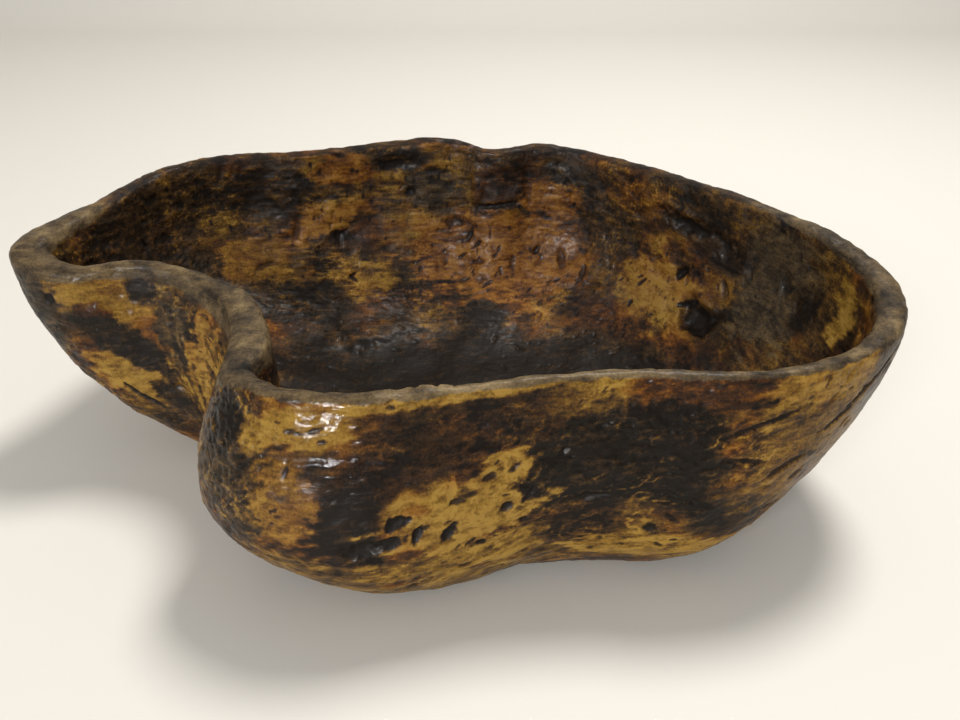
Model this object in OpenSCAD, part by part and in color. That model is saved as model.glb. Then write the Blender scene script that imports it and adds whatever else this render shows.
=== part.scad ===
// Carved bowl hollowed from one block of burl wood.
// Free-form plan: rounded right end, narrow spout-like left lobe and a deep
// inward fold in the near wall between the lobe and the bulging front.
// Frame: +X along the long side toward the rounded end, +Y away from the
// folded side, +Z up, origin in the middle of the footprint on the floor.

/* [Walls] */
// Lip width added to every rim station
lip_extra = 0; // [0:0.5:4]
// Height of the rounded edge at the top of the wall
lip_round = 5; // [3:0.5:7]
// Thickness of the floor above the resting face
floor_t = 16; // [12:1:22]

/* [Foot] */
// Middle of the foot along X
foot_x = 20; // [4:2:24]
// Middle of the foot along Y
foot_y = -10; // [-18:2:-2]
// Length of the flattened foot
foot_l = 200; // [180:5:240]
// Depth of the flattened foot
foot_d = 150; // [110:5:160]
// Height planed off the underside so that it rests flat
foot_cut = 1; // [0.5:0.5:2]

/* [Hollow] */
// Deepest point of the hollow along X
hollow_x = 10; // [-10:2:30]
// Deepest point of the hollow along Y
hollow_y = 0; // [-10:2:10]
// Squareness of the hollow profile, two is an ellipse
hollow_sq = 3.1; // [2.7:0.1:3.3]
// Length of the oval that the hollow settles into toward its floor
hollow_l = 340; // [300:5:350]
// Depth of that oval
hollow_d = 210; // [190:5:220]

/* [Hidden] */
// stations around the outer edge of the rim, anticlockwise from the right end:
// [x, y, top, lip width, swelling of the wall below the rim, squareness of the
// outer profile]
stations = [
    [ 212,  -43, 117, 14, -3, 2.1],
    [ 204,   -1, 122, 13,  2, 2.0],
    [ 180,   37, 124, 11,  4, 2.3],
    [ 153,   66, 126, 10,  6, 2.6],
    [ 121,  100, 127, 10,  7, 2.8],
    [  86,  125, 129,  9,  7, 2.8],
    [  56,  133, 131,  9,  7, 2.8],
    [  28,  128, 129,  9,  8, 2.8],
    [   2,  138, 133,  9,  6, 2.8],
    [ -44,  134, 131,  9,  7, 2.8],
    [ -88,  124, 129,  9,  7, 2.8],
    [-132,  119, 128, 10,  6, 2.6],
    [-170,   99, 126, 11,  4, 2.3],
    [-191,   49, 124, 14,  2, 2.0],
    [-209,   13, 122, 18,  0, 1.9],
    [-206,  -13, 120, 18,  0, 2.0],
    [-175,  -25, 115, 14,  0, 1.9],
    [-144,  -19, 117, 10,  3, 1.9],
    [-112,  -29, 113, 12,  6, 2.3],
    [ -94,  -49, 109, 16,  8, 2.6],
    [ -87,  -75, 107, 18, 14, 2.7],
    [ -84, -101, 107, 14, 20, 2.7],
    [ -62, -121, 110, 11, 18, 3.0],
    [ -30, -129, 112,  9, 14, 3.8],
    [   6, -123, 112,  8, 12, 4.0],
    [  46, -114, 112,  8,  8, 2.8],
    [  84, -110, 112,  8, 10, 3.3],
    [ 122, -112, 112,  8,  9, 3.3],
    [ 162, -103, 112, 10,  1, 2.5],
    [ 195,  -79, 113, 12, -5, 2.3],
];
// columns of points between two stations
span = 4;
// rows of points up the outer wall, over the lip and down the hollow
wall_rings = 20;
lip_rings = 6;
hollow_rings = 22;
// centre from which the columns fan out over the foot and the hollow floor
pole = [10, 40];
// share of even spacing in that fan, the rest follows the rim
spread = 0.35;
// half width of the block that planes the foot flat
block = 300;

count = len(stations);
columns = count * span;

// smooth closed curve through the stations, t runs from 0 to count
function at(t, k) =
    let (
        i = floor(t),
        f = t - i,
        a = stations[(i + count - 1) % count][k],
        b = stations[i % count][k],
        c = stations[(i + 1) % count][k],
        d = stations[(i + 2) % count][k]
    )
    b + 0.5 * f * (c - a + f * (2 * a - 5 * b + 4 * c - d + f * (3 * (b - c) + d - a)));

function station(i) = [for (k = [0 : 5]) at(i / span, k)];

rim = [for (i = [0 : columns - 1]) station(i)];

function flat(v) = [v[0], v[1]];
function unit(v) = v / norm(v);
function ahead(i) = flat(rim[(i + 1) % columns]) - flat(rim[(i + columns - 1) % columns]);
// level direction pointing from the rim into the bowl
function inward(i) = unit([-ahead(i)[1], ahead(i)[0]]);

// bearing of each rim column seen from the pole, always growing
first = atan2(rim[0][1] - pole[1], rim[0][0] - pole[0]);
function seen(i) = atan2(rim[i][1] - pole[1], rim[i][0] - pole[0]);
function grown(i) = seen(i) < first ? seen(i) + 360 : seen(i);
function bearing(i) = (1 - spread) * grown(i) + spread * (first + 360 * i / columns);

// point of an oval at a column's bearing
function oval(i, l, d) =
    let (
        v = [cos(bearing(i)), sin(bearing(i))]
    )
    v / norm([2 * v[0] / l, 2 * v[1] / d]);

function foot_point(i) = [foot_x, foot_y] + oval(i, foot_l, foot_d);

// outer wall from the foot up to the lip, q from 0 to 1
function wall_point(i, q) =
    let (
        s = rim[i],
        a = 90 * q,
        e = 2 / s[5],
        across = pow(sin(a), e),
        up = 1 - pow(cos(a), e),
        p = foot_point(i) + (flat(s) - foot_point(i)) * across
            - inward(i) * s[4] * sin(180 * pow(up, 0.8))
    )
    [p[0], p[1], (s[2] - lip_round) * up];

// rounded lip from the outer edge over the top to the inner edge
function lip_point(i, q) =
    let (
        s = rim[i],
        w = s[3] + lip_extra,
        a = 180 * q,
        p = flat(s) + inward(i) * w * (1 - cos(a)) / 2
    )
    [p[0], p[1], s[2] - lip_round + lip_round * pow(sin(a), 0.7)];

// inside of the bowl from the lip down to its deepest point
function hollow_point(i, q) =
    let (
        s = rim[i],
        a = 90 * q,
        e = 2 / min(hollow_sq, s[5] + 0.5),
        middle = [hollow_x, hollow_y],
        edge = flat(s) + inward(i) * (s[3] + lip_extra) - middle,
        across = 1 - pow(cos(a), e),
        drop = pow(sin(a), e),
        settle = across * across * (3 - 2 * across),
        p = middle + (edge * (1 - settle) + oval(i, hollow_l, hollow_d) * settle) * (1 - across),
        top = s[2] - lip_round
    )
    [p[0], p[1], top - (top - floor_t) * drop];

profile = concat(
    [for (j = [0 : wall_rings - 1]) [0, j / wall_rings]],
    [for (j = [0 : lip_rings]) [1, j / lip_rings]],
    [for (j = [1 : hollow_rings - 1]) [2, j / hollow_rings]]
);
rings = len(profile);

function skin(i, g) =
    g[0] == 0 ? wall_point(i, g[1]) :
    g[0] == 1 ? lip_point(i, g[1]) :
    hollow_point(i, g[1]);

shape = concat(
    [for (g = profile) for (i = [0 : columns - 1]) skin(i, g)],
    [[foot_x, foot_y, 0], [hollow_x, hollow_y, floor_t]]
);

// the origin sits in the middle of the footprint
function middle(k) = (min([for (p = shape) p[k]]) + max([for (p = shape) p[k]])) / 2;
shift = [middle(0), middle(1), foot_cut];
points = [for (p = shape) p - shift];

function ring_faces(j) = [
    for (i = [0 : columns - 1])
        let (
            k = (i + 1) % columns,
            a = j * columns + i,
            b = j * columns + k,
            c = (j + 1) * columns + k,
            d = (j + 1) * columns + i
        )
        each [[a, c, b], [a, d, c]]
];

faces = concat(
    [for (j = [0 : rings - 2]) each ring_faces(j)],
    [for (i = [0 : columns - 1]) [i, (i + 1) % columns, rings * columns]],
    [for (i = [0 : columns - 1])
        [(rings - 1) * columns + i, rings * columns + 1, (rings - 1) * columns + (i + 1) % columns]]
);

// the block with its wall and hollow, planed flat at floor level
module bowl() {
    color("peru") difference() {
        polyhedron(points = points, faces = faces, convexity = 6);
        translate([-block, -block, -block]) cube([2 * block, 2 * block, block]);
    }
}

bowl();
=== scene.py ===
import itertools
import math

import bmesh
import bpy
import numpy as np
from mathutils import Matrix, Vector
from mathutils.kdtree import KDTree


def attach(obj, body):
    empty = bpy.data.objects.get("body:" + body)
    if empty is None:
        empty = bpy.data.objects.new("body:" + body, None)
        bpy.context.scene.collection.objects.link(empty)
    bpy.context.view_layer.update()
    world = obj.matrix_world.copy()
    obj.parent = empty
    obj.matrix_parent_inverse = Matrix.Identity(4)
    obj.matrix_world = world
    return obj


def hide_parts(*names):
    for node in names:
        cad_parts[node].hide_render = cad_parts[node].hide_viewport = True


# the skin of the bowl is shaped in millimetres, all else is in metres: the finished mesh, the grain
# of the material, the backdrop, the lights and the camera
MM = 0.001

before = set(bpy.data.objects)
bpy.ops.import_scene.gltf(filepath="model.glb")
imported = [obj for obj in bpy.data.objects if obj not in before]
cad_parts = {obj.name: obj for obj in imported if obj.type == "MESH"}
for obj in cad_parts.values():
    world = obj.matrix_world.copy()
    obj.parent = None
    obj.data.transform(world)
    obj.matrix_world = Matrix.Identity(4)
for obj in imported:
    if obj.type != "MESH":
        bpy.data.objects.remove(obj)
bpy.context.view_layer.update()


# ---------------------------------------------------------------- noise
TABLE = np.random.default_rng(7).normal(size=(1024, 3))
TABLE /= np.linalg.norm(TABLE, axis=1)[:, None]
JITTER = np.random.default_rng(8).random((1024, 4))


def cell_hash(cell, seed):
    """A number from 0 to 1023 for each whole-numbered cell."""
    mixed = cell[:, 0] * 73856093 ^ cell[:, 1] * 19349663 ^ cell[:, 2] * 83492791 ^ seed * 2654435
    return (mixed ^ mixed >> 13) & 1023


def noise(points, size, seed=0):
    """Smooth noise from about -1 to 1, with features of the given size."""
    p = points / size
    cell = np.floor(p).astype(np.int64)
    part = p - cell
    fade = part ** 3 * (part * (part * 6 - 15) + 10)
    total = np.zeros(len(p))
    for corner in itertools.product((0, 1), repeat=3):
        c = np.array(corner)
        slope = TABLE[cell_hash(cell + c, seed)]
        weight = np.prod(np.where(c == 1, fade, 1 - fade), axis=1)
        total += weight * np.einsum("ij,ij->i", slope, part - c)
    return total * 1.6


def layered(points, size, layers, seed=0):
    """Noise with finer layers added, each half as large and half as strong."""
    total = np.zeros(len(points))
    for k in range(layers):
        total += noise(points, size * 0.5 ** k, seed + 11 * k) * 0.55 ** k
    return total


def cells(points, size, seed=0):
    """Distance to the nearest scattered point, in cells, and that point's own random number."""
    p = points / size
    base = np.floor(p).astype(np.int64)
    nearest = np.full(len(p), 9.0)
    own = np.zeros(len(p))
    for corner in itertools.product((-1, 0, 1), repeat=3):
        cell = base + np.array(corner)
        spot = JITTER[cell_hash(cell, seed)]
        away = np.linalg.norm(cell + spot[:, :3] - p, axis=1)
        closer = away < nearest
        nearest = np.where(closer, away, nearest)
        own = np.where(closer, spot[:, 3], own)
    return nearest, own


def ramp(value, low, high):
    """Smooth step from 0 at low to 1 at high."""
    t = np.clip((value - low) / (high - low), 0, 1)
    return t * t * (3 - 2 * t)


# ---------------------------------------------------------------- mesh
# distance between neighbouring points
GRAIN = 0.85 * MM


def dense_copy():
    """A fine, even mesh of the CAD bowl's surface."""
    mesh = bpy.data.meshes.new("bowl_base")
    work = bmesh.new()
    work.from_mesh(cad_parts["bowl"].data)
    bmesh.ops.remove_doubles(work, verts=work.verts, dist=0.02 * MM)
    work.to_mesh(mesh)
    work.free()
    base = bpy.data.objects.new("bowl_base", mesh)
    bpy.context.scene.collection.objects.link(base)
    rounding = base.modifiers.new("rounding", "SUBSURF")
    rounding.levels = 2
    rounding.render_levels = 2
    even = base.modifiers.new("even", "REMESH")
    even.mode = "VOXEL"
    even.voxel_size = GRAIN
    smooth = base.modifiers.new("smooth", "SMOOTH")
    smooth.iterations = 4
    smooth.factor = 0.5
    bpy.context.view_layer.update()
    graph = bpy.context.evaluated_depsgraph_get()
    made = bpy.data.meshes.new_from_object(base.evaluated_get(graph))
    bpy.data.objects.remove(base)
    return made


def read_points(mesh):
    flat = np.zeros(len(mesh.vertices) * 3, np.float32)
    mesh.vertices.foreach_get("co", flat)
    return flat.reshape(-1, 3).astype(float) / MM


def read_normals(mesh):
    flat = np.zeros(len(mesh.vertices) * 3, np.float32)
    mesh.vertex_normals.foreach_get("vector", flat)
    return flat.reshape(-1, 3).astype(float)


skin = dense_copy()
P = read_points(skin)
N = read_normals(skin)
print("bowl skin:", len(P), "points")

# ---------------------------------------------------------------- where each point is
# the height of the rim is read off in bearings around this pole
POLE = np.array([10.0, 40.0])
BINS = 180
# height of the middle of the hollow
HEART_Z = 110.0

angle = np.arctan2(P[:, 1] - POLE[1], P[:, 0] - POLE[0])
bin_of = ((angle + math.pi) / (2 * math.pi) * BINS).astype(int) % BINS
crest = np.zeros(BINS)
np.maximum.at(crest, bin_of, P[:, 2])
crest = (np.roll(crest, 1) + 2 * crest + np.roll(crest, -1)) / 4
centres = (np.arange(-1, BINS + 1) + 0.5) / BINS * 2 * math.pi - math.pi
rim_height = np.interp(angle, centres, np.concatenate([crest[-1:], crest, crest[:1]]))

below_rim = rim_height - P[:, 2]
# the middle of the hollow runs along X and bends toward the lobe
bend = ramp(-P[:, 0], 40, 90)
heart = np.stack([0.85 * np.clip(P[:, 0], -150, 170), 5 + 45 * bend, np.full(len(P), HEART_Z)], axis=1)
to_heart = heart - P
to_heart /= np.linalg.norm(to_heart, axis=1)[:, None]
# 1 on the surface of the hollow, on the outside, and on the resting face
inner = ramp(np.einsum("ij,ij->i", N, to_heart), -0.1, 0.1)
outer = 1 - inner
foot = ramp(P[:, 2], 3.0, 0.6) * ramp(N[:, 2], -0.8, -0.97)

# the grain runs level along the walls and climbs a little to the right over the near wall
CLIMB = math.radians(12)
climbing = np.stack([
    P[:, 0] * math.cos(CLIMB) + P[:, 2] * math.sin(CLIMB),
    P[:, 1],
    P[:, 2] * math.cos(CLIMB) - P[:, 0] * math.sin(CLIMB),
], axis=1)
near_wall = (outer > 0.5) & (P[:, 1] < 0)
ALONG_X = np.where(near_wall[:, None], climbing, P)
# 1 where the wall faces along X, so that its grain runs along Y
sideways = ramp(np.abs(N[:, 0]) - np.abs(N[:, 1]), -0.25, 0.25)


def grained(size, layers, seed, stretch):
    """Noise drawn out along the grain."""
    x_way = layered(ALONG_X / np.array([stretch, 1.0, 1.0]), size, layers, seed)
    y_way = layered(P / np.array([1.0, stretch, 1.0]), size, layers, seed)
    return x_way + (y_way - x_way) * sideways


def near(place, reach):
    """1 at the place, falling to 0 at the given distance from it."""
    return ramp(np.linalg.norm(P - np.array(place), axis=1), reach, 0.4 * reach)


# the worn rim: a narrow band that widens at the fold and the lobe
far_side = ramp(P[:, 1], 20, 80)
band = 2.0 + 12.0 * near((-98, -58, 100), 60)
band += 5.0 * near((-175, -10, 115), 70)
band += 3.0 * near((210, -30, 118), 70)
rough_rim = below_rim + (0.6 + 0.12 * band) * layered(P, 8, 3, 3)
rim = 1 - ramp(rough_rim, band * 0.7, band * 1.3)
rim_grey = rim * (0.9 - 0.7 * far_side)


# ---------------------------------------------------------------- shape
OUT, IN = 0, 1

# places that several steps treat in their own way
DARK_FRONT = (83, -117, 75)
DARK_CORNER = (-82, -112, 85)
BROWN_KNOT = (60, -117, 38)
SHOULDER = (-44, -131, 99)
LOBE_SIDE = (-166, -24, 98)
RIGHT_OUTSIDE = (178, -92, 75)
RIGHT_INSIDE = (170, 15, 70)

# pits, knot holes and ridges. The places in this table and in PATCHES are fixed points on the surface:
# they were found with the photo and a scratch script or set by eye, and do not follow the frame.
# side, place, length, width, tilt in degrees, depth (negative for a ridge), darkness
MARKS = [
    (OUT, (-13, -139, 61), 10, 6, 25, 1.6, 1.0),
    (OUT, (-16, -139, 51), 12, 7, 10, 2.0, 1.0),
    (OUT, (-5, -137, 54), 9, 4, 65, 1.6, 1.0),
    (OUT, (7, -134, 52), 10, 5, 55, 1.6, 1.0),
    (OUT, (20, -129, 42), 5, 3, 0, 1.0, 0.9),
    (OUT, (30, -126, 58), 7, 4, 25, 1.3, 0.9),
    (OUT, (37, -123, 50), 5, 3, -10, 1.3, 0.9),
    (OUT, (-27, -141, 50), 15, 10, 20, 2.4, 1.0),
    (OUT, (-22, -139, 43), 10, 5, -30, 1.4, 1.0),
    (OUT, (90, -118, 40), 7, 5, 20, 1.0, 0.9),
    (OUT, (98, -118, 47), 8, 3, -40, 1.0, 0.9),
    (OUT, (108, -119, 56), 16, 3, -20, 0.9, 1.0),
    (OUT, (94, -117, 60), 14, 3, -14, 0.8, 1.0),
    (OUT, (63, -117, 57), 26, 3, 12, 1.0, 0.9),
    (OUT, (38, -120, 62), 12, 3, 50, 0.8, 0.9),
    (OUT, (-44, -131, 99), 34, 12, 4, -1.4, 0.0),
    (OUT, (-48, -133, 88), 40, 4, 6, 1.0, 0.5),
    (OUT, (-150, -25, 43), 20, 2.5, -34, 1.2, 0.95),
    (OUT, (-158, -25, 50), 11, 2, -40, 0.8, 0.8),
    (OUT, (9, -131, 69), 2.5, 17, -6, 0.5, -0.6),
    (OUT, (180, -95, 92), 26, 3, 28, 0.9, 0.8),
    (OUT, (166, -100, 84), 22, 2.5, 20, 0.8, 0.85),
    (OUT, (-158, -25, 90), 30, 9, -24, -1.2, 0.0),
    (OUT, (-188, -20, 98), 8, 5, 60, 1.4, 0.9),
    (OUT, (150, -106, 60), 8, 4, 40, 0.9, 0.8),
    (IN, (144, 41, 54), 22, 19, 0, 5.5, 0.2),
    (IN, (139, 48, 61), 15, 4, 25, 1.2, 0.9),
    (IN, (143, 44, 66), 24, 6, -15, -1.4, 0.0),
    (IN, (137, 62, 73), 11, 6, 40, 2.8, 0.9),
    # the darkness of this hollow under the knot's ledge is painted shade, the shadow that falls under
    # the ledge
    (IN, (139, 66, 101), 30, 9, -6, 2.6, 0.85),
    (IN, (137, 69, 108), 36, 5, -6, -1.6, 0.0),
    (IN, (122, 80, 104), 12, 7, 10, 1.6, 0.5),
    (IN, (152, 52, 100), 12, 6, -20, 1.6, 0.5),
    (IN, (116, 86, 99), 16, 8, 20, 1.4, 0.5),
    (IN, (166, 32, 92), 8, 20, -10, 1.6, 0.5),
    (IN, (156, 46, 94), 6, 15, 10, 1.3, 0.5),
    (IN, (158, 42, 74), 5, 14, 25, 1.2, 0.6),
    (IN, (176, 12, 88), 7, 18, 10, 1.3, 0.4),
    (IN, (-24, 127, 99), 7, 6, 20, 2.5, 0.8),
    (IN, (-30, 127, 118), 24, 10, 5, 1.6, 0.5),
    (IN, (18, 124, 104), 8, 26, 0, -1.6, 0.0),
    (IN, (34, 120, 108), 22, 18, 0, 1.8, 0.3),
    (IN, (30, 119, 93), 26, 4, 8, 2.2, 0.9),
    (IN, (50, 119, 106), 5, 24, 4, 1.2, 0.5),
    (IN, (13, 120, 73), 13, 4, 72, 1.2, 0.7),
    (IN, (2, 124, 80), 14, 7, 0, 1.2, 0.6),
    (IN, (55, 112, 66), 9, 4, 65, 1.4, 0.8),
    (IN, (70, 108, 62), 6, 13, 8, 1.2, 0.6),
    (IN, (84, 100, 56), 5, 14, 4, 1.3, 0.7),
    (IN, (92, 94, 50), 14, 5, 12, 1.2, 0.6),
    (IN, (40, 112, 58), 4, 12, -10, 0.9, 0.6),
    (IN, (20, 116, 56), 12, 4, 10, 0.9, 0.6),
    (IN, (-70, 114, 72), 4, 13, 12, 1.0, 0.6),
    (IN, (-96, 108, 80), 5, 15, -8, 1.1, 0.6),
    (IN, (-118, 104, 58), 16, 4, 20, 1.0, 0.6),
    (IN, (-49, 73, 27), 60, 20, 8, -1.4, 0.0),
    (OUT, (132, -112, 90), 34, 2.5, 16, 0.9, 0.85),
    (OUT, (124, -115, 74), 24, 2.5, -12, 0.9, 0.8),
    (OUT, (142, -110, 68), 24, 3, 24, 0.9, 0.8),
    (OUT, (190, -84, 100), 28, 2.5, 30, 0.9, 0.8),
]

# how far each point moves out, and how dark the marks make it: dirt in the pits, and painted shade in
# the hollow under the knot's ledge
push = np.zeros(len(P))
dirt_and_painted_shade = np.zeros(len(P))

# smoother wood at the right end, and where hands have polished the shoulder and the lobe
calm = np.maximum(outer * near(RIGHT_OUTSIDE, 62), 0.7 * inner * near(RIGHT_INSIDE, 70))
polished = outer * np.maximum(near(SHOULDER, 34), near(LOBE_SIDE, 26))
calm = np.maximum(calm, polished)
floor_of_bowl = inner * ramp(P[:, 2] - 0.05 * np.abs(P[:, 0]), 32, 20)
plain = (1 - 0.8 * rim) * (1 - foot) * (1 - 0.55 * floor_of_bowl)

# slow swellings, shallow scoops of the gouge, small scales of the dark burl, fibres and grit
lumps = 0.9 * layered(P, 42, 2, 20) * (1 + 0.9 * inner) + 0.7 * noise(P, 17, 22) * plain
scoop, own = cells(P / np.array([1.5, 1.5, 1.0]) + 3 * noise(P, 20, 12)[:, None], 7.0, 5)
tooled = ramp(layered(P, 50, 2, 31), -0.5, 0.3)
scoops = (scoop - 0.45) * (0.5 + 1.0 * own) * tooled * plain
flakes, own = cells(P + 2.0 * noise(P, 7, 13)[:, None], 3.4, 6)
scaly = 0.7 * ramp(layered(P, 40, 2, 33), -0.3, 0.3)
for place, reach in ((DARK_FRONT, 60), ((48, -118, 75), 36), (DARK_CORNER, 44)):
    scaly = np.maximum(scaly, 1.5 * near(place, reach))
flaking = (flakes - 0.45) * (0.2 + 0.8 * own) * scaly * plain
threads = grained(2.6, 2, 40, 4.0)
grit = grained(4.5, 3, 45, 1.8)
push += lumps + (1 - 0.7 * calm) * ((0.45 + 0.6 * inner) * scoops + 0.95 * flaking)
grain = 0.14 * threads + 0.28 * grit * (1 - 0.6 * rim)
push += grain * (1 - 0.5 * floor_of_bowl) * (1 - 0.6 * calm)

tree = KDTree(len(P))
for index, point in enumerate(P):
    tree.insert(point, index)
tree.balance()


def press(index, length, width, tilt, depth, darkness):
    """Presses a ragged oval hollow into the surface, or raises a ridge when the depth is negative."""
    centre, normal = P[index], N[index]
    level = np.array([-normal[1], normal[0], 0.0])
    if np.linalg.norm(level) < 0.2:
        level = np.array([1.0, 0.0, 0.0])
    level /= np.linalg.norm(level)
    if level[0] < 0:
        level = -level
    rise = np.cross(normal, level)
    rise = rise if rise[2] >= 0 else -rise
    c, s = math.cos(math.radians(tilt)), math.sin(math.radians(tilt))
    u, v = level * c + rise * s, rise * c - level * s
    found = np.array([i for _, i, _ in tree.find_range(centre, 0.75 * max(length, width) + 2)])
    found = found[N[found] @ normal > 0.2]
    local = P[found] - centre
    ragged = 1 + 0.4 * layered(P[found], max(4.0, 0.5 * width), 2, int(index) % 50)
    across = np.hypot(local @ u / (length / 2), local @ v / (width / 2)) * ragged
    push[found] -= depth * (1 - ramp(across, 0.3, 1.3))
    mark = darkness * ramp(1 - across, -0.25, 0.3)
    dirt_and_painted_shade[found] = np.where(np.abs(mark) > np.abs(dirt_and_painted_shade[found]), mark, dirt_and_painted_shade[found])


# how many nearby points are searched for one on the right side of the wall
SEARCHED = 400
for side, place, length, width, tilt, depth, darkness in MARKS:
    here = tree.find(place)[1]
    for _, index, _ in tree.find_n(place, SEARCHED):
        if (inner[index] > 0.5) == (side == IN):
            here = index
            break
    press(here, length, width, tilt, depth, darkness)

# bunches of short gouges, each bunch cut in one direction: steep inside, level outside
BUNCHES = 380
BUNCH_REACH = 16
RIM_NICKS = 60
chance = np.random.default_rng(41)
for bunch in chance.choice(len(P), BUNCHES, replace=False):
    if rim[bunch] > 0.3 or foot[bunch] > 0.1:
        continue
    tilt = chance.normal(75, 25) if inner[bunch] > 0.5 else chance.normal(10, 20)
    around = [i for _, i, _ in tree.find_range(P[bunch], BUNCH_REACH) if N[i] @ N[bunch] > 0.5]
    for index in chance.choice(around, chance.integers(3, 9)):
        size = 2.6 + 5.5 * chance.random() ** 2
        slant = tilt + chance.normal(0, 12)
        press(index, size, size * 0.36, slant, 0.15 + 0.08 * size, 0.3 + 0.5 * chance.random())

# small nicks along the rim
edge = np.flatnonzero(below_rim < 5)
for index in chance.choice(edge, RIM_NICKS, replace=False):
    size = 3 + 5 * chance.random()
    press(index, size, size * 0.5, chance.normal(0, 20), 0.3 + 0.4 * chance.random(), 0.3)
push += rim * 0.4 * noise(P, 6, 60)

# the resting face stays flat
push *= 1 - foot
shaped = P + N * push[:, None]
shaped[:, 2] = np.maximum(shaped[:, 2], 0.0)
shaped[:, 2] = np.where(foot > 0.5, 0.0, shaped[:, 2])
skin.vertices.foreach_set("co", (shaped * MM).astype(np.float32).ravel())
skin.update()
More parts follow.
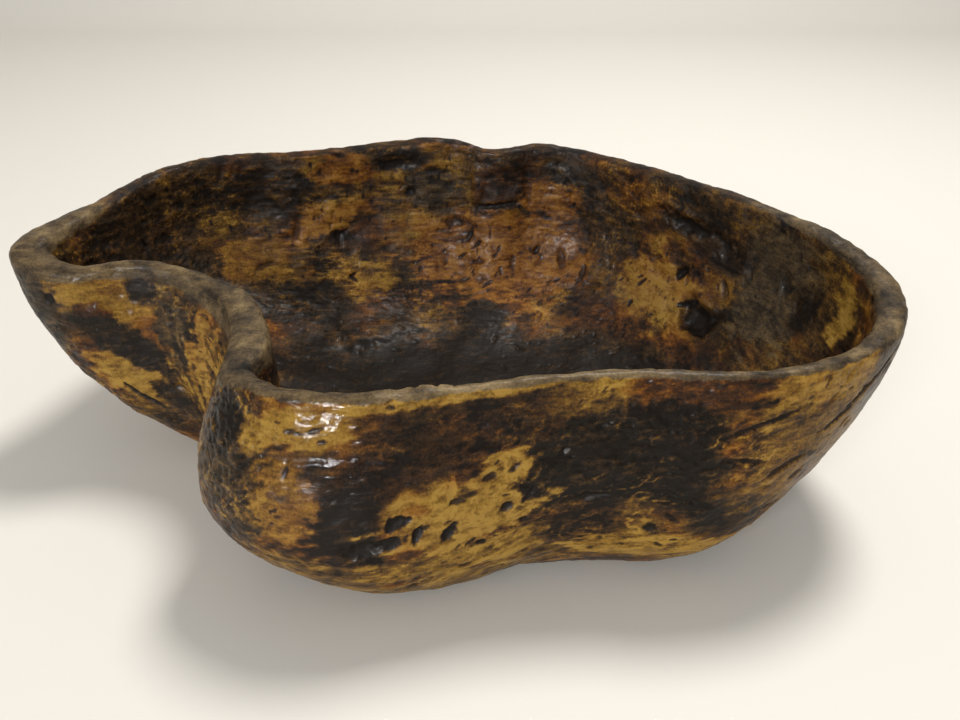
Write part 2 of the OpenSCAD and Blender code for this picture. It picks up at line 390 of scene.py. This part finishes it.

# ---------------------------------------------------------------- stain, and painted shade under the knot's ledge
# patches: side, place, half length, half height, tilt in degrees, darkness, warmth, grey
PATCHES = [
    (OUT, (83, -117, 75), 40, 25, 0, 1.0, 0.2, 0.1),
    (OUT, (48, -118, 73), 24, 20, 10, 0.95, 0.3, 0.0),
    (OUT, (98, -115, 91), 18, 10, -10, 0.9, 0.3, 0.0),
    (OUT, (104, -119, 56), 14, 5, -25, 0.9, 0.2, 0.0),
    (OUT, (4, -128, 89), 56, 14, 10, 0.58, 0.55, 0.1),
    (OUT, (-24, -138, 78), 26, 11, 18, 0.66, 0.6, 0.1),
    (OUT, (-33, -141, 60), 17, 20, 0, 0.85, 0.5, 0.0),
    (OUT, (-26, -141, 51), 11, 9, 0, 1.0, 0.1, 0.1),
    (OUT, (14, -133, 55), 36, 12, 4, -1.0, 0.25, 0.0),
    (OUT, (0, -124, 16), 60, 9, 0, -0.2, 0.1, 0.3),
    (OUT, (28, -126, 34), 44, 9, 4, -0.7, 0.1, 0.2),
    (OUT, (-5, -136, 34), 26, 9, 0, -0.2, 0.1, 0.35),
    (OUT, (61, -117, 40), 18, 15, 0, 0.8, 0.5, 0.05),
    (OUT, (27, -124, 74), 17, 8, 35, -0.75, 0.3, 0.0),
    (OUT, (-48, -129, 99), 20, 9, 6, -0.9, 0.25, 0.0),
    (OUT, (14, -124, 108), 62, 3, 2, -0.6, 0.3, 0.1),
    (OUT, (-80, -116, 85), 16, 36, 0, 0.4, 0.1, 0.7),
    (OUT, (-80, -114, 90), 9, 20, 0, 0.95, 0.1, 0.3),
    (OUT, (-66, -122, 88), 7, 14, 0, -0.5, 0.3, 0.0),
    (OUT, (-74, -128, 58), 11, 18, 0, 0.5, 0.1, 0.5),
    (OUT, (-62, -127, 34), 22, 13, 0, -0.2, 0.3, 0.3),
    (OUT, (-56, -136, 68), 14, 24, 0, -0.3, 0.5, 0.0),
    (OUT, (-44, -134, 34), 24, 10, 0, -0.1, 0.2, 0.35),
    (OUT, (108, -112, 104), 28, 6, 0, 0.3, 0.9, 0.0),
    (OUT, (156, -105, 104), 28, 9, 4, -0.9, 0.3, 0.05),
    (OUT, (146, -111, 80), 26, 18, 10, -0.1, 0.2, 0.4),
    (OUT, (172, -98, 78), 20, 24, 20, -0.2, 0.2, 0.45),
    (OUT, (138, -114, 66), 17, 24, 20, -0.1, 0.4, 0.3),
    (OUT, (100, -115, 27), 42, 8, 0, -0.7, 0.25, 0.1),
    (OUT, (158, -93, 50), 26, 12, 30, -0.05, 0.3, 0.3),
    (OUT, (192, -76, 90), 20, 30, 0, 0.2, 0.2, 0.8),
    (OUT, (-166, -24, 101), 28, 13, -12, -0.4, 0.35, 0.05),
    (OUT, (-170, -24, 92), 9, 7, 0, 0.5, 0.9, 0.0),
    (OUT, (-142, -20, 105), 9, 8, 0, 1.0, 0.2, 0.1),
    (OUT, (-157, -24, 75), 27, 9, -36, 1.0, 0.1, 0.1),
    (OUT, (-160, -25, 77), 22, 6, -36, 1.0, 0.0, 0.1),
    (OUT, (-157, -26, 56), 25, 9, -32, -0.9, 0.15, 0.1),
    (OUT, (-198, -18, 88), 11, 40, 0, 0.5, 0.1, 0.9),
    (OUT, (-130, -22, 84), 10, 22, 0, 0.35, 0.1, 0.7),
    (OUT, (-112, -38, 66), 15, 36, 0, -0.95, 0.35, 0.35),
    (OUT, (-136, -26, 44), 14, 6, -35, 0.8, 0.2, 0.2),
    (IN, (-168, 60, 92), 46, 40, 0, 0.7, 0.4, 0.05),
    (IN, (-116, 112, 106), 44, 16, 4, 0.75, 0.35, 0.0),
    (IN, (-124, 102, 64), 26, 13, 0, -0.25, 0.5, 0.1),
    (IN, (-80, 115, 86), 22, 10, 20, -0.6, 0.7, 0.0),
    (IN, (-58, 106, 50), 24, 12, -10, -0.3, 0.4, 0.1),
    (IN, (-95, 92, 40), 30, 10, 0, 0.7, 0.3, 0.1),
    (IN, (-64, 120, 116), 24, 9, 0, -0.2, 0.8, 0.0),
    (IN, (-30, 127, 120), 20, 8, 0, 1.0, 0.1, 0.1),
    (IN, (-14, 128, 102), 19, 14, 0, 0.45, 0.0, 0.7),
    (IN, (34, 120, 106), 17, 12, 0, 0.5, 0.8, 0.4),
    (IN, (32, 112, 62), 60, 28, 0, -0.4, 0.9, 0.0),
    (IN, (64, 121, 96), 20, 14, 0, -0.4, 0.8, 0.0),
    (IN, (98, 102, 86), 22, 26, 0, 0.3, 0.4, 0.4),
    (IN, (112, 88, 108), 26, 12, 0, 0.1, 0.6, 0.2),
    # this dark patch over the knot's ledge is partly the wood's dark stain and partly painted shade
    # from the hollow under the ledge
    (IN, (140, 66, 99), 22, 7, -6, 0.5, 0.3, 0.25),
    (IN, (126, 66, 62), 32, 16, 0, -0.6, 0.5, 0.0),
    (IN, (144, 41, 54), 12, 10, 0, 0.45, 0.4, 0.2),
    (IN, (176, 17, 84), 36, 36, 0, 0.15, 0.3, 0.85),
    (IN, (154, 42, 72), 13, 11, 0, -0.15, 0.45, 0.3),
    (IN, (160, 44, 92), 12, 12, 0, 0.75, 0.3, 0.3),
    (IN, (182, -6, 84), 10, 16, 0, 0.75, 0.3, 0.3),
    (IN, (194, -28, 92), 9, 17, 0, -0.5, 0.2, 0.2),
    (IN, (10, 10, 18), 120, 72, 0, 1.0, 0.3, 0.05),
]

# ragged edges for the patches, streaks along the grain, and the ground that the patches lie on
warp = np.stack([layered(P, 11, 3, seed) for seed in (70, 80, 90)], axis=1)
streaks = grained(5.4, 4, 110, 4.5)
fine = grained(2.2, 3, 115, 3.4)
dark = 0.52 + 0.42 * layered(P * np.array([0.8, 1.0, 1.0]), 38, 4, 100) + 0.12 * inner
warm = 0.45 + 0.5 * layered(P, 30, 3, 120)
grey = 0.12 + 0.35 * layered(P, 26, 3, 130)

# inside patches centred below this height lie on the floor, and fade out above and below
FLOOR_TOP = 25
FLOOR_FADE = 16
for side, place, half_length, half_height, tilt, darkness, warmth, greyness in PATCHES:
    c, s = math.cos(math.radians(tilt)), math.sin(math.radians(tilt))
    d = P + min(4.5, 0.8 + 0.2 * half_height) * warp - np.array(place, float)
    on_floor = side == IN and place[2] < FLOOR_TOP
    level = d[:, 0] if on_floor else np.hypot(d[:, 0], d[:, 1]) * np.sign(d[:, 0])
    up = d[:, 1] if on_floor else d[:, 2]
    away = np.hypot((level * c + up * s) / half_length, (up * c - level * s) / half_height)
    if on_floor:
        away = np.maximum(away, np.abs(d[:, 2]) / FLOOR_FADE)
    on_side = inner if side == IN else outer
    weight = (1 - ramp(away + 0.25 * streaks + 0.12 * fine, 0.7, 1.2)) * on_side
    dark += (0.5 + 0.5 * darkness - dark) * weight * 0.9
    warm += (warmth - warm) * weight * 0.8
    grey += (greyness - grey) * weight * 0.85

# the fan of fibres that runs down the fold to a point
fan_side = outer * near((-112, -36, 62), 46)
FAN_X, FAN_Z = -118, 12
fan_angle = np.arctan2(P[:, 0] - FAN_X, P[:, 2] - FAN_Z)
spokes = np.stack([fan_angle * 60, P[:, 2] * 0.06, 0 * fan_angle], axis=1)
fan = noise(spokes + 2.5 * warp[:, :1], 3.2, 140)
dark += (0.75 * fan - 0.05) * fan_side

# stain gathers in the hollows of the relief and is worn off its ridges
hollows = -((0.4 + 0.4 * inner) * scoops + 0.8 * flaking + 0.12 * threads + 0.22 * grit)
hollows *= 1 - 0.7 * calm

# pale lines where the noise crosses zero
veins = ramp(1 - np.abs(grained(5.5, 2, 150, 2.0)) * 2.2, 0.72, 1.0)
veins *= ramp(layered(P, 24, 2, 155), -0.1, 0.4)

# growth rings of the brown knot
RING_GAP = 3.4
from_knot = np.linalg.norm(P - np.array(BROWN_KNOT) + 1.5 * warp, axis=1)
rings = np.cos(from_knot * 2 * math.pi / RING_GAP)
dark -= 0.3 * ramp(rings, 0.75, 1.0) * outer * near(BROWN_KNOT, 20)
busy = (0.3 + 0.9 * ramp(layered(P, 26, 2, 160), -0.4, 0.5)) * (1 - 0.5 * calm)
dark = np.clip(dark, 0.24, 0.93)

# short dark flecks: along the grain outside, upright inside
upright = P / np.array([1.0, 1.0, 2.0])
level = ALONG_X / np.array([2.0, 1.0, 1.0])
spots, own = cells(np.where(inner[:, None] > 0.5, upright, level) + 0.8 * warp, 4.2, 9)
dark += 0.34 * (1 - ramp(spots, 0.1, 0.34)) * ramp(own, 0.35, 0.8) * plain * (1 - 0.6 * calm)

dark += busy * (0.19 - 0.03 * inner) * (streaks + fine) * (1 - 0.6 * floor_of_bowl)
dark += 0.5 * np.clip(hollows, -0.5, 0.7)
vein_strength = 0.3 + 0.3 * near(DARK_CORNER, 50) + 0.25 * near(DARK_FRONT, 60)
dark -= vein_strength * veins * plain * (1 - floor_of_bowl) * (1 - calm)
# the marks set the darkness: dirt in the pits and gouges, painted shade in the hollow under the knot's
# ledge, and paler scratches where the darkness is negative
dark = np.maximum(dark, dirt_and_painted_shade) - 0.3 * (dirt_and_painted_shade < 0)
dark = np.clip(dark + 0.2 * ramp(-push, 0.8, 2.6), 0, 1)

# the worn rim, darker on the far side
worn_rim = 0.56 - 0.2 * near((30, -120, 112), 90) + 0.22 * far_side
worn_rim += 0.3 * layered(P, 16, 3, 165)
worn_rim += 0.15 * streaks
worn_rim += 0.12 * grained(2.0, 2, 170, 4.0)
dark = np.clip(dark + (worn_rim - dark) * rim * 0.85, 0, 1)
grey = np.clip(np.maximum(grey, rim_grey), 0, 1)

# 0 where the lacquer is polished, 1 in the dark marks: the dirt of a pit, and the painted shade under
# the knot's ledge
matt = 0.5 + 0.3 * inner + 0.2 * rim - 0.42 * polished - 0.2 * outer * scaly
matt = np.clip(matt + 0.5 * np.clip(dirt_and_painted_shade, 0, 1), 0, 1)

# the material reads these four as red, green, blue and alpha
stain_and_painted_shade = skin.color_attributes.new("stain_and_painted_shade", "FLOAT_COLOR", "POINT")
values = np.stack([dark, np.clip(warm, 0, 1), grey, matt], axis=1)
stain_and_painted_shade.data.foreach_set("color", values.astype(np.float32).ravel())


# ---------------------------------------------------------------- material
def srgb(r, g, b):
    """A colour given as it looks on screen, from 0 to 255, as Blender's linear values."""
    parts = [c / 255 for c in (r, g, b)]
    return [c / 12.92 if c <= 0.04045 else ((c + 0.055) / 1.055) ** 2.4 for c in parts] + [1.0]


class Nodes:
    """Short ways to add shader nodes."""

    def __init__(self, material):
        material.use_nodes = True
        self.tree = material.node_tree
        self.tree.nodes.clear()

    def add(self, kind, inputs=None, **settings):
        node = self.tree.nodes.new(kind)
        for key, value in settings.items():
            setattr(node, key, value)
        for key, value in (inputs or {}).items():
            if isinstance(value, bpy.types.NodeSocket):
                self.tree.links.new(value, node.inputs[key])
            else:
                node.inputs[key].default_value = value
        return node

    def noise(self, vector, scale, detail, rough):
        inputs = {"Vector": vector, "Scale": scale, "Detail": detail, "Roughness": rough}
        return self.add("ShaderNodeTexNoise", inputs).outputs["Fac"]

    def math(self, operation, a, b=0.0, c=0.0, clamp=False):
        made = self.add("ShaderNodeMath", {0: a, 1: b, 2: c}, operation=operation, use_clamp=clamp)
        return made.outputs[0]

    def mix(self, factor, a, b):
        made = self.add("ShaderNodeMix", data_type="RGBA")
        for name, value in (("Factor", factor), ("A", a), ("B", b)):
            socket = [s for s in made.inputs if s.name == name and s.enabled][0]
            if isinstance(value, bpy.types.NodeSocket):
                self.tree.links.new(value, socket)
            else:
                socket.default_value = value
        return [s for s in made.outputs if s.enabled][0]

    def ramp(self, factor, stops):
        made = self.add("ShaderNodeValToRGB", {"Fac": factor})
        band = made.color_ramp
        while len(band.elements) < len(stops):
            band.elements.new(0.5)
        for element, (place, colour) in zip(band.elements, stops):
            element.position = place
            element.color = colour
        return made.outputs["Color"]

    def spread(self, value, low, high):
        made = self.add("ShaderNodeMapRange", {"Value": value, "From Min": low, "From Max": high})
        made.interpolation_type = "SMOOTHSTEP"
        return made.outputs["Result"]


def burl_wood():
    material = bpy.data.materials.new("burl_wood")
    n = Nodes(material)
    place = n.add("ShaderNodeTexCoord").outputs["Object"]
    drawn = n.add("ShaderNodeMapping", {"Vector": place, "Scale": (0.2, 0.4, 1.0)}).outputs["Vector"]
    stain_and_painted_shade = n.add("ShaderNodeAttribute", attribute_name="stain_and_painted_shade")
    parts = n.add("ShaderNodeSeparateColor", {"Color": stain_and_painted_shade.outputs["Color"]})
    dark, warm, grey = parts.outputs["Red"], parts.outputs["Green"], parts.outputs["Blue"]
    matt = stain_and_painted_shade.outputs["Alpha"]

    mottle = n.noise(drawn, 240.0, 5.0, 0.62)
    fibre = n.noise(drawn, 620.0, 4.0, 0.6)
    speck = n.noise(place, 900.0, 2.0, 0.5)

    shade = n.math("ADD", dark, n.math("MULTIPLY_ADD", mottle, 0.44, -0.22))
    shade = n.math("ADD", shade, n.math("MULTIPLY_ADD", fibre, 0.44, -0.22))
    shade = n.math("ADD", shade, n.math("MULTIPLY_ADD", speck, 0.5, -0.25))
    shade = n.math("MULTIPLY_ADD", shade, 1.25, -0.11, clamp=True)

    yellow = n.ramp(shade, [
        (0.00, srgb(166, 130, 58)),
        (0.24, srgb(138, 104, 40)),
        (0.46, srgb(101, 72, 30)),
        (0.70, srgb(60, 43, 24)),
        (1.00, srgb(24, 18, 12)),
    ])
    orange = n.ramp(shade, [
        (0.00, srgb(158, 110, 46)),
        (0.24, srgb(130, 83, 28)),
        (0.46, srgb(98, 58, 21)),
        (0.70, srgb(60, 37, 20)),
        (1.00, srgb(24, 16, 11)),
    ])
    warmth = n.math("MULTIPLY_ADD", mottle, 0.5, n.math("SUBTRACT", warm, 0.25))
    wood = n.mix(n.spread(warmth, 0.25, 0.75), yellow, orange)
    worn = n.ramp(shade, [
        (0.00, srgb(138, 118, 84)),
        (0.40, srgb(98, 81, 56)),
        (0.70, srgb(62, 51, 37)),
        (1.00, srgb(28, 24, 20)),
    ])
    wear = n.math("MULTIPLY_ADD", fibre, 0.35, n.math("SUBTRACT", grey, 0.17))
    colour = n.mix(n.spread(wear, 0.30, 0.85), wood, worn)

    gloss = n.math("MULTIPLY_ADD", mottle, 0.2, 0.05)
    gloss = n.math("MULTIPLY_ADD", matt, 0.5, gloss)
    relief = n.math("MULTIPLY_ADD", fibre, 0.45, n.math("MULTIPLY", mottle, 0.8))
    relief = n.math("MULTIPLY_ADD", speck, 0.25, relief)
    bump = n.add("ShaderNodeBump", {"Strength": 0.7, "Distance": 0.0007, "Height": relief})
    shader = n.add("ShaderNodeBsdfPrincipled", {
        "Base Color": colour,
        "Roughness": gloss,
        "Normal": bump.outputs["Normal"],
        "Specular IOR Level": 0.12,
        "Coat Weight": 0.05,
        "Coat Roughness": 0.25,
    })
    output = n.add("ShaderNodeOutputMaterial")
    n.tree.links.new(shader.outputs["BSDF"], output.inputs["Surface"])
    return material


bowl = bpy.data.objects.new("carved_bowl", skin)
bpy.context.scene.collection.objects.link(bowl)
skin.materials.clear()
skin.materials.append(burl_wood())
for face in skin.polygons:
    face.use_smooth = True
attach(bowl, "root")
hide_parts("bowl")


# ---------------------------------------------------------------- floor
def pale(name, colour, rough):
    material = bpy.data.materials.new(name)
    n = Nodes(material)
    shader = n.add("ShaderNodeBsdfPrincipled", {"Base Color": colour, "Roughness": rough})
    output = n.add("ShaderNodeOutputMaterial")
    n.tree.links.new(shader.outputs["BSDF"], output.inputs["Surface"])
    return material


def backdrop():
    """A level floor that curves up into a wall behind the bowl."""
    reach = 40.0
    turn, depth, height = 0.3, 1.6, 2.4
    start = depth - turn
    side = [(-reach, 0.0), (start, 0.0)]
    for a in np.linspace(0.1, math.pi / 2, 16):
        side.append((start + turn * math.sin(a), turn - turn * math.cos(a)))
    side.append((depth, height))
    mesh = bpy.data.meshes.new("backdrop")
    points = [(x, y, z) for y, z in side for x in (-reach, reach)]
    faces = [(2 * i, 2 * i + 1, 2 * i + 3, 2 * i + 2) for i in range(len(side) - 1)]
    mesh.from_pydata(points, [], faces)
    for face in mesh.polygons:
        face.use_smooth = True
    mesh.materials.append(pale("pale_paper", srgb(222, 218, 210), 0.6))
    made = bpy.data.objects.new("backdrop", mesh)
    bpy.context.scene.collection.objects.link(made)
    return made


backdrop()


# ---------------------------------------------------------------- lights
def area_light(name, place, aim, size, watts, colour):
    data = bpy.data.lights.new(name, "AREA")
    data.shape = "DISK"
    data.size = size
    data.energy = watts
    data.color = colour
    lamp = bpy.data.objects.new(name, data)
    lamp.location = place
    lamp.rotation_euler = (Vector(aim) - Vector(place)).to_track_quat("-Z", "Y").to_euler()
    bpy.context.scene.collection.objects.link(lamp)
    return lamp


area_light("key", (0.42, 0.46, 1.6), (0, 0, 0.05), 0.45, 23, (1.0, 0.98, 0.95))
area_light("fill", (-0.8, -1.6, 0.95), (0, 0, 0.05), 0.5, 15, (0.97, 0.98, 1.0))

# adds gleams and no diffuse light, aimed at the polished shoulder
window = area_light("window", (-0.72, -1.5, 0.72), (-0.045, -0.13, 0.1), 0.26, 0.5, (0.97, 0.98, 1.0))
window.visible_diffuse = False
window.data.spread = math.radians(18)

world = bpy.data.worlds.new("studio")
world.use_nodes = True
world.node_tree.nodes["Background"].inputs["Color"].default_value = (0.95, 0.94, 0.92, 1)
world.node_tree.nodes["Background"].inputs["Strength"].default_value = 0.5
bpy.context.scene.world = world

# ---------------------------------------------------------------- camera
camera_data = bpy.data.cameras.new("camera")
camera_data.sensor_width = 36.0
camera_data.lens = 31.1
camera = bpy.data.objects.new("camera", camera_data)
camera.location = (0.0195, -0.379, 0.279)
LOOK_DOWN = 31
camera.rotation_euler = (math.radians(90 - LOOK_DOWN), 0, 0)
camera_data.clip_start = 0.01
bpy.context.scene.collection.objects.link(camera)
bpy.context.scene.camera = camera
bpy.context.scene.view_settings.view_transform = "Standard"

bpy.context.view_layer.update()
